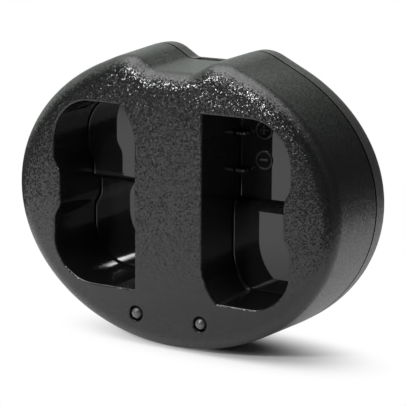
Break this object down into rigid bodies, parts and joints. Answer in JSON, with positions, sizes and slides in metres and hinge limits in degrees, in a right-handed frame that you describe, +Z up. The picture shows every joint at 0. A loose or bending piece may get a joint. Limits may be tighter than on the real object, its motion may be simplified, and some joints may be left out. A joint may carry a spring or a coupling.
{
  "type": "camera battery charger",
  "caption": "Oval desktop charger with twin battery bays, contact blades, status lamps and a USB inlet in its notched rim.",
  "frame": {"origin": "middle of the charger's footprint on the surface that it stands on", "axes": "+Z up, +X to the right seen from the front, the bays open towards -Y and the rear cover faces +Y"},
  "size_m": [0.0856, 0.0268, 0.0674],
  "materials": {
    "shell_plastic": "spark-grained black outside, polished black in the bays",
    "cover_plastic": "fine-grained black",
    "board_laminate": "solder-masked laminate",
    "contact_metal": "nickel plated",
    "lamp_clear": "clear moulded epoxy",
    "tinned_wire": "tinned",
    "inlet_metal": "nickel plated sheet",
    "inlet_plastic": "moulded",
    "chip_plastic": "moulded epoxy",
    "ferrite": "sintered",
    "ceramic": "sintered",
    "screw_metal": "black zinc"
  },
  "bodies": {
    "root": {"front_shell": "shell_plastic", "rear_cover": "cover_plastic", "circuit_board": "board_laminate", "right_positive_blade": "contact_metal", "right_negative_blade": "contact_metal", "left_positive_blade": "contact_metal", "left_negative_blade": "contact_metal", "led_left": "lamp_clear", "led_right": "lamp_clear", "led_leads": "tinned_wire", "usb_shell": "inlet_metal", "usb_tongue": "inlet_plastic", "usb_contacts": "contact_metal", "charge_controller_left": "chip_plastic", "charge_controller_right": "chip_plastic", "boost_converter": "chip_plastic", "power_inductor": "ferrite", "rectifier_diode": "chip_plastic", "input_capacitor": "ceramic", "output_capacitors": "ceramic", "sense_resistors": "chip_plastic", "cover_screws": "screw_metal"}
  },
  "joints": []
}
